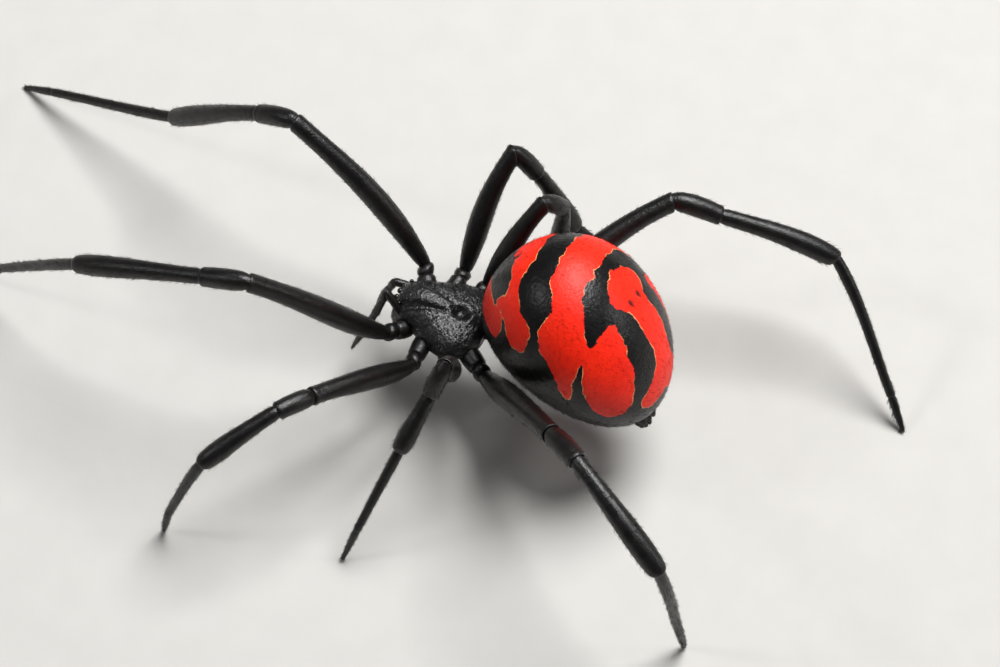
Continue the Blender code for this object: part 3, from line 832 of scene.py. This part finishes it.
def shield_relief(forward, left):
    """Height in millimetres of the shield's relief over its smooth dome: the head is a round
    ridge between two furrows that meet before a deep pit, and faint folds fan out from it."""
    side = abs(left)
    half = max(0.16, 0.24 + 0.14 * (forward + 0.2))
    begins = 1.0 / (1.0 + math.exp(-(forward + 0.05) / 0.12))
    head = math.sqrt(max(0.0, 1.0 - (side / half) ** 2)) * begins
    t = min(1.0, max(0.0, (forward + 0.30) / 1.7))
    furrow = groove(forward, left, (-0.20, 0.22), (1.42, 0.66), 0.05 + 0.13 * t) * (0.03 + 0.12 * t)
    away = math.hypot((forward + 0.60) / 0.28, left / 0.24)
    pit = math.exp(-away ** 3)
    collar = math.exp(-((away - 1.75) / 0.42) ** 2)
    knob = math.exp(-((forward + 1.06) / 0.15) ** 2 - ((left - 0.02) / 0.24) ** 2)
    fans = (((-0.25, 0.55), (0.30, 1.10)), ((-0.52, 0.58), (-0.38, 1.30)),
            ((-0.85, 0.50), (-1.15, 1.00)))
    folds = sum(groove(forward, left, start, end, 0.07) for start, end in fans)
    rough = (math.sin(17 * forward + 3 * left) * math.sin(13 * left - 5 * forward)
             * math.sin(7 * (forward + left)))
    return (0.10 * head - furrow - 0.24 * pit + 0.018 * collar + 0.07 * knob - 0.018 * folds
            + 0.012 * rough)


def shield_spot(along, turn):
    """Place on the front body: along from -1 at the waist to 1 at the face, turn in radians
    round it with 0 at the left rim and half pi on top."""
    front, rear = PROSOMA_ROWS[0][0], PROSOMA_ROWS[-1][0]
    keep = min(1.0, (1.0 - abs(along)) / 0.08) ** 0.5
    reach = max(-1.0, min(1.0, along / 0.92))
    forward = (front + rear) / 2 + (front - rear) / 2 * reach
    half_width, top, bottom = prosoma_row(forward)
    left = half_width * signed_power(math.cos(turn), PROSOMA_SQUARENESS) * keep
    rise = signed_power(math.sin(turn), PROSOMA_SQUARENESS) * keep
    if rise > 0:
        high = PROSOMA_RIM + (top - PROSOMA_RIM) * rise
        high += shield_relief(forward, left) * min(1.0, rise * 1.6)
    else:
        high = PROSOMA_RIM + (PROSOMA_RIM - bottom) * rise
        plate = math.hypot((forward + 0.10) / 1.05, left / 0.66)
        high -= 0.045 / (1 + math.exp((plate - 1.0) / 0.03)) - 0.02
    step = math.exp(-((rise - 0.20) / 0.07) ** 2)
    seam = math.exp(-((rise + 0.16) / 0.07) ** 2)
    lip = math.exp(-((rise - 0.03) / 0.06) ** 2)
    left *= 1.0 - 0.05 * seam + 0.022 * lip - 0.03 * step
    return on_body((forward, left, high))


def make_prosoma(mat):
    """Shield, rim and breast plate as one closed skin."""
    shape = bmesh.new()
    bmesh.ops.create_uvsphere(shape, u_segments=220, v_segments=170, radius=1.0)
    for vert in shape.verts:
        along = math.asin(max(-1.0, min(1.0, vert.co.z))) / (math.pi / 2)
        vert.co = shield_spot(along, math.atan2(vert.co.x, vert.co.y))
    make_piece("front_body_shell", shape, mat, ["prosoma"])


def make_granules(mat, hair_mat):
    """Small hard beads on the shield, densest on its sides, and short hairs between them."""
    rng = np.random.default_rng(21)
    beads = bmesh.new()
    hairs = []
    while len(hairs) < SHIELD_HAIRS:
        along = rng.uniform(-0.80, 0.82)
        turn = rng.uniform(0.12, math.pi - 0.12)
        on_head = along > 0.15 and abs(turn - math.pi / 2) < 0.35
        spot = shield_spot(along, turn)
        ahead = (shield_spot(along + 0.01, turn) - spot).normalized()
        out = (shield_spot(along, turn + 0.01) - spot).cross(ahead).normalized()
        if out.z < 0:
            out = -out
        if len(hairs) % 2 == 0 and not (on_head and rng.uniform() < 0.8):
            made = bmesh.ops.create_icosphere(
                beads, subdivisions=1, radius=rng.uniform(0.020, 0.046) * MM
            )
            flattened = facing(spot, out, "Y") @ Matrix.Diagonal((1.0, 1.0, 0.8, 1.0))
            bmesh.ops.transform(beads, matrix=flattened, verts=made["verts"])
        start = (ahead * 0.8 + out * 0.6).normalized()
        end = (ahead + out * 0.25).normalized()
        place = (0.5 + 0.45 * along, 0.02 + 0.96 * turn / math.pi)
        size = rng.uniform(0.06, 0.13) * MM
        hairs.append((spot, start, end, size, FINE_HAIR * MM, place, ON_BLACK))
    make_piece("shield_granules", beads, mat)
    hair_coat("shield_hairs", hairs, hair_mat)


def make_pedicel(mat):
    """Narrow waist between the front body and the abdomen."""
    start, end = on_body((-1.25, 0.0, -0.06)), on_body((-2.75, -0.12, 0.22))
    radii = (0.26, 0.25, 0.24, 0.25, 0.26)
    part = limb(start, end, radii, UP, 0.0, None, None, 1.0, 1.0, 0.01, 0.0)
    make_piece("pedicel_tube", limb_shape(part, 24, 24), mat, ["pedicel"])


def make_eyes(mat):
    """Eight smooth lenses, each where its solid is."""
    for name in sorted(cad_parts):
        if not name.startswith("eye_"):
            continue
        low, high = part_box(name)
        middle = (Vector(low) + Vector(high)) / 2
        radius = (high[2] - low[2]) / 2
        shape = bmesh.new()
        bmesh.ops.create_uvsphere(shape, u_segments=32, v_segments=20, radius=radius)
        bmesh.ops.translate(shape, vec=middle, verts=shape.verts)
        make_piece(name.replace("eye_", "eye_lens_"), shape, mat, [name])


def tube_spot(spots, radii, t, angle):
    """Point on a tube along a smooth line of spots, with its outward and onward directions."""
    def line(at):
        return Vector([smooth_value([spot[k] for spot in spots], at) for k in range(3)])

    step = 0.01
    aim = (line(min(1.0, t + step)) - line(max(0.0, t - step))).normalized()
    side = aim.cross(Vector((0.13, 0.06, 1.0))).normalized()
    out = side * math.cos(angle) + side.cross(aim) * math.sin(angle)
    radius = smooth_value(radii, t) * MM * min(1.0, math.sqrt(min(t, 1 - t) / 0.06 + 0.12))
    return line(t) + out * radius, out, aim


def path_tube(spots, radii, sides, rings):
    """Closed tube along a smooth line of spots, drawn in at both ends."""
    shape = rod(sides, rings)
    for vert in shape.verts:
        vert.co = tube_spot(spots, radii, vert.co.z, math.atan2(vert.co.y, vert.co.x))[0]
    return shape


def make_face(shell, fang_mat, hair_mat):
    """Jaws with their fangs, the lip between them and the two chewing lobes beneath."""
    rng = np.random.default_rng(5)
    for side, sign in (("L", 1), ("R", -1)):
        jaw, fang, lobe = [on_side(sign, path) for path in (JAW_PATH, FANG_PATH, LOBE_PATH)]
        make_piece("jaw_" + side, path_tube(jaw, JAW_RADII, 32, 34), shell,
                   ["chelicera_" + side])
        make_piece("fang_" + side, path_tube(fang, (0.085, 0.07, 0.045, 0.015), 14, 16),
                   fang_mat)
        make_piece("chewing_lobe_" + side, path_tube(lobe, (0.15, 0.17, 0.16, 0.12), 20, 20),
                   shell)
        hairs = []
        for _ in range(JAW_HAIRS):
            t = rng.uniform(0.12, 0.95)
            angle = rng.uniform(0, 2 * math.pi)
            spot, out, down = tube_spot(jaw, JAW_RADII, t, angle)
            start = (down * 0.8 + out * 0.6).normalized()
            end = (down + out * 0.2).normalized()
            place = (0.02 + 0.96 * t, 0.02 + 0.96 * angle / (2 * math.pi))
            size = rng.uniform(0.07, 0.13) if t < 0.8 else rng.uniform(0.10, 0.18)
            hairs.append((spot, start, end, size * MM, FINE_HAIR * MM, place, ON_BLACK))
        hair_coat("jaw_hairs_" + side, hairs, hair_mat)
    lip = path_tube(on_side(1, LIP_PATH), (0.17, 0.16, 0.09), 20, 16)
    make_piece("lower_lip", lip, shell)


def palp_limbs(side):
    """The limbs of one palp, its joints, its tip and the tip's aim."""
    root, knee, wrist, tip = on_side(1, PALP_PATHS[side])
    pairs = (root, knee), (knee, wrist), (wrist, tip)
    first, lower, last = [(end - start).normalized() for start, end in pairs]
    bend = knee + lower * PALP_PATELLA_LENGTH * MM
    sunk = PALP_SUNK * MM
    return [
        ("femur", limb(root, knee, (0.13, 0.15, 0.16, 0.155, 0.145), UP, 0.04, None, lower)),
        ("patella", limb(knee - lower * sunk, bend, (0.13, 0.145, 0.15, 0.14), UP, 0.03,
                         first, lower)),
        ("tibia", limb(bend - lower * sunk, wrist, (0.125, 0.14, 0.15, 0.155), UP, 0.0,
                       None, last)),
        ("tarsus", limb(wrist - last * sunk, tip, (0.13, 0.14, 0.14, 0.13, 0.115, 0.085, 0.05),
                        UP, 0.0, lower, None, 0.85, 0.5, 0.08, 0.0)),
    ], (knee, bend, wrist), tip, last


def make_palps(leg_mat, joint_mat, claw_mat, hair_mat):
    rng = np.random.default_rng(9)
    for side in ("L", "R"):
        limbs, joints, tip, aim = palp_limbs(side)
        replaced = {"femur": ["palp_femur_" + side], "tarsus": ["palp_tip_" + side]}
        hairs = []
        for k, (label, part) in enumerate(limbs):
            make_piece("palp_" + label + "_piece_" + side, limb_shape(part, 22, 20), leg_mat,
                       replaced.get(label, []))
            band = (0.02 + 0.24 * k, 0.24 + 0.24 * k)
            hairs += grow_on_limb(rng, part, band, 110, 0.13, 30, FINE_HAIR)
        hair_coat("palp_hairs_" + side, hairs, hair_mat)
        make_joints("palp_joints_" + side, [(spot, aim, PALP_JOINT_RADIUS) for spot in joints],
                    joint_mat)
        claw = bmesh.new()
        verts = add_cone(claw, 10, 0.028 * MM, 0.004 * MM, 0.14 * MM)
        bmesh.ops.transform(claw, matrix=facing(tip + aim * 0.03 * MM, aim), verts=verts)
        make_piece("palp_claw_" + side, claw, claw_mat)


def make_joints(name, joints, mat):
    """Soft dark skin that closes the joints of a limb, one ball at each."""
    balls = bmesh.new()
    for spot, aim, radius in joints:
        made = bmesh.ops.create_uvsphere(
            balls, u_segments=20, v_segments=14, radius=radius * MM
        )
        bmesh.ops.transform(balls, matrix=facing(spot, aim), verts=made["verts"])
    make_piece(name, balls, mat)


def make_legs(leg_mat, joint_mat, claw_mat, hair_mat):
    """Eight legs, with a comb of bristles under each hind foot."""
    rng = np.random.default_rng(3)
    for leg in POSES:
        parts, joints, tip, aim, lift = leg_parts(leg)
        hairs = []
        for k, (label, part) in enumerate(parts.items()):
            nodes = [] if label in ("trochanter", "tarsus") else [label + "_" + leg]
            shape = limb_shape(part, 28, 34 if label in ("femur", "tibia") else 26)
            make_piece(label + "_piece_" + leg, shape, leg_mat, nodes)
            per_mm, length = LEG_HAIR[label]
            band = (0.01 + 0.14 * k, 0.135 + 0.14 * k)
            hairs += grow_on_limb(rng, part, band, per_mm, length, 32, 0.0055)
        if leg[1] == "4":
            hairs += grow_on_limb(rng, parts["tarsus"], (0.98, 0.995), 26, 0.22, 42, 0.008, True)
        hair_coat("leg_hairs_" + leg, hairs, hair_mat)
        make_joints("leg_joints_" + leg, joints, joint_mat)
        claws = bmesh.new()
        add_claws(claws, tip, aim, lift, STOUTNESS[int(leg[1])])
        make_piece("claws_" + leg, claws, claw_mat)


# Floor, light and camera

def make_floor():
    """Wide sheet of pale matt card, warm grey with a faint cloud of fibres."""
    shape = bmesh.new()
    bmesh.ops.create_grid(shape, x_segments=2, y_segments=2, size=0.6)
    mat, tree, where = new_material("pale_matt_card")
    tint = blend(tree, noise(tree, where, 700.0, 4.0), "b3b1ad", "bab8b4")
    finish_material(tree, {"Roughness": 0.9}, {"Base Color": tint})
    floor = add_object("studio_floor", to_mesh("studio_floor", shape, mat))


def soft_light(name, place, size, power):
    """White disk of light turned to the model; place and size in metres."""
    light = bpy.data.lights.new(name, "AREA")
    light.shape = "DISK"
    light.size = size
    light.energy = power
    holder = add_object(name, light)
    holder.location = place
    aim = Vector((0.0, 0.0, 0.004)) - Vector(place)
    holder.rotation_euler = aim.to_track_quat("-Z", "Y").to_euler()


def make_studio():
    world = bpy.data.worlds.new("studio")
    world.use_nodes = True
    tree = world.node_tree
    tree.nodes.clear()
    sky = add(tree, "ShaderNodeBackground", {"Color": linear("e8ecf2"), "Strength": 0.10})
    add(tree, "ShaderNodeOutputWorld", links={"Surface": sky.outputs["Background"]})
    bpy.context.scene.world = world
    soft_light("key", (-0.080, 0.025, 0.215), 0.13, 0.92)
    soft_light("front_fill", (0.10, -0.20, 0.20), 0.05, 0.14)
    soft_light("rear_fill", (-0.10, 0.22, 0.12), 0.06, 0.10)


def make_camera():
    """Camera at the photograph's place and turn, measured from the front body."""
    camera = bpy.data.cameras.new("camera")
    camera.sensor_width = 36.0
    camera.lens = 109.6
    camera.clip_start = 0.001
    camera.clip_end = 5.0
    right = Vector((-0.4106, 0.9103, 0.0520))
    up = Vector((-0.7715, -0.3772, 0.5124))
    back = right.cross(up).normalized()
    up = back.cross(right).normalized()
    place = (Vector(BODY) + Vector((53.57, 20.95, 94.88))) * MM
    holder = add_object("camera", camera)
    turned = Matrix((right, up, back)).transposed().to_4x4()
    holder.matrix_world = Matrix.Translation(place) @ turned
    bpy.context.scene.camera = holder


def main():
    bpy.context.scene.view_settings.view_transform = "Standard"
    make_camera()
    make_studio()
    make_floor()
    shell = shell_material()
    leg_mat = leg_material()
    hair_mat = hair_material()
    joint_mat = plain_material("joint_membrane", ("0e0a08", "211712"), 0.45, 4000.0)
    fang_mat = plain_material("fang_chitin", ("1c0a06", "3a140a"), 0.18, 3000.0, ior=1.55)
    claw_mat = plain_material("claw_chitin", ("1a100c", "2c1a12"), 0.3, 3000.0)
    brown = plain_material("spinneret_skin", ("100a08", "241512"), 0.45, 5000.0)
    lens = plain_material("eye_lens", ("060607", "0b0a0c"), 0.04, 800.0, 0.0, 1.5)
    make_prosoma(shell)
    make_granules(shell, hair_mat)
    make_pedicel(shell)
    make_eyes(lens)
    make_face(shell, fang_mat, hair_mat)
    make_palps(leg_mat, joint_mat, claw_mat, hair_mat)
    make_legs(leg_mat, joint_mat, claw_mat, hair_mat)
    make_abdomen(abdomen_material())
    make_abdomen_hair(hair_mat)
    make_spinnerets(brown, hair_mat)


main()
